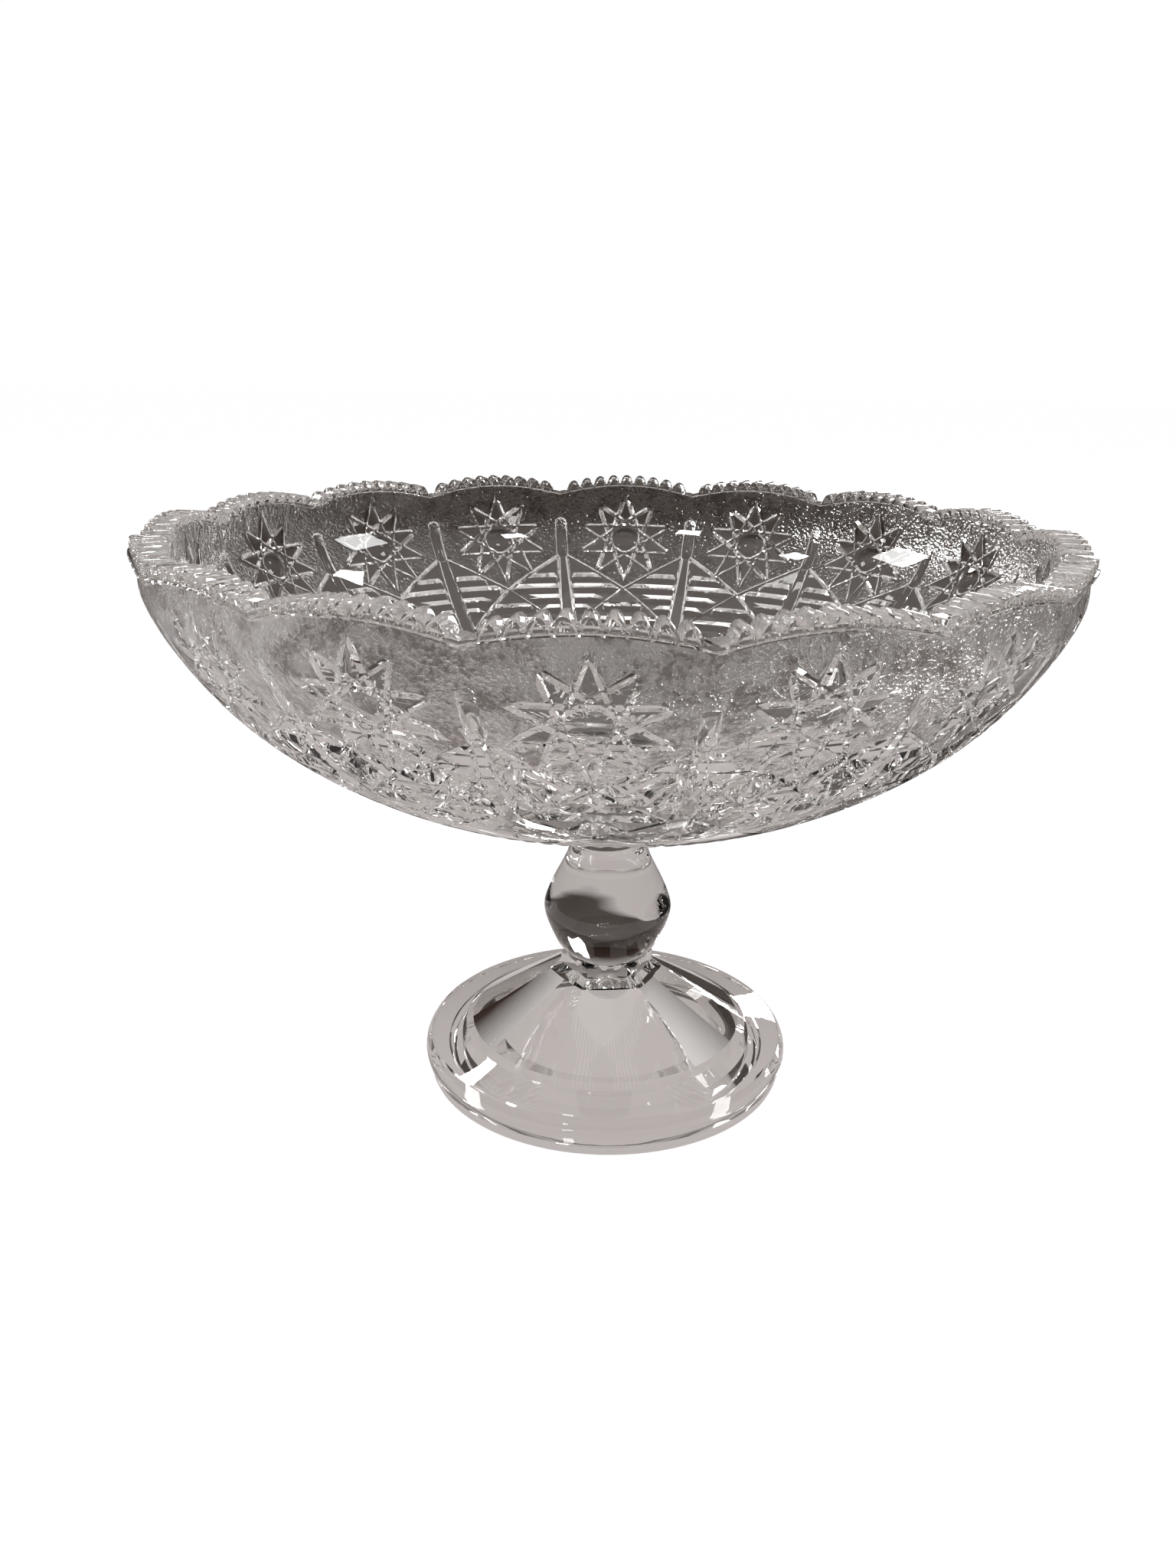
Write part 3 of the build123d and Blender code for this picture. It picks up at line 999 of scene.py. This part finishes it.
floor = make_piece("floor", floor_mesh, [floor_paper])

# %% [markdown]
# ## The room
# The camera sees white behind the bowl. The glass sees a dim brown room that grows pale
# towards the ceiling. This is staged in the same way as the floor.

# %% Room
world = bpy.data.worlds.new("room")
scene.world = world
world.use_nodes = True
room = world.node_tree
room.nodes.clear()
looked_at_by = add_node(room, "ShaderNodeLightPath")
direction = add_node(room, "ShaderNodeTexCoord")
height = add_node(room, "ShaderNodeSeparateXYZ",
                  links=[("Vector", direction.outputs["Generated"])])
ramp = add_node(room, "ShaderNodeValToRGB", links=[("Fac", height.outputs["Z"])])
ramp.color_ramp.elements[0].color = linear("#1c1411")
ramp.color_ramp.elements[1].position = 0.8
ramp.color_ramp.elements[1].color = linear("#dcd8d6")
ramp.color_ramp.elements.new(0.3).color = linear("#3a2f29")
dim_room = add_node(room, "ShaderNodeBackground", links=[("Color", ramp.outputs["Color"])])
backdrop = add_node(room, "ShaderNodeBackground",
                    inputs=[("Color", linear("#ffffff")), ("Strength", 1.0)])
room_mix = add_node(room, "ShaderNodeMixShader",
                    links=[("Fac", looked_at_by.outputs["Is Camera Ray"]),
                           (1, dim_room.outputs["Background"]),
                           (2, backdrop.outputs["Background"])])
add_node(room, "ShaderNodeOutputWorld", links=[("Surface", room_mix.outputs["Shader"])])

# %% [markdown]
# ## The lights
# Three windows and five small lamps give the glass its glints, and a large weak light
# overhead lifts the inside. That last one is hidden from reflections, where it would lie
# as a white patch on the inner wall.

# %% Lights
def softbox(name, place, size, power, tone="#ffffff"):
    """A rectangular light that faces the bowl."""
    lamp = bpy.data.lights.new(name, "AREA")
    lamp.shape = "RECTANGLE"
    lamp.size, lamp.size_y = size
    lamp.energy = power
    lamp.color = linear(tone)[:3]
    holder = bpy.data.objects.new(name, lamp)
    scene.collection.objects.link(holder)
    holder.location = place
    holder.rotation_euler = (Vector((0, 0, 0.15)) - Vector(place)).to_track_quat("-Z", "Y").to_euler()
    return holder


softbox("left_window", (-1.5, 0.35, 0.9), (0.4, 0.5), 9)
softbox("right_window", (1.6, 0.1, 1.0), (0.4, 0.5), 8)
softbox("back_window", (0.65, 1.6, 0.45), (0.45, 0.45), 7)
LAMP_DISTANCE = 1.5
lamp_places = [(-150, 1.5), (-75, 1.9), (-25, 1.3), (40, 1.6), (125, 1.7)]
for number, (degrees, height) in enumerate(lamp_places):
    angle = math.radians(degrees)
    place = (LAMP_DISTANCE * math.sin(angle), -LAMP_DISTANCE * math.cos(angle), height)
    softbox(f"lamp_{number}", place, (0.22, 0.22), 5)
ceiling = softbox("ceiling", (0, 0, 2.2), (1.2, 1.2), 3)
ceiling.visible_glossy = False
scene.view_settings.view_transform = "Standard"
scene.cycles.max_bounces = 24
scene.cycles.transmission_bounces = 24
scene.cycles.glossy_bounces = 12

# %% [markdown]
# ## Finishing
# The view layer is brought up to date.

# %% Finish
bpy.context.view_layer.update()
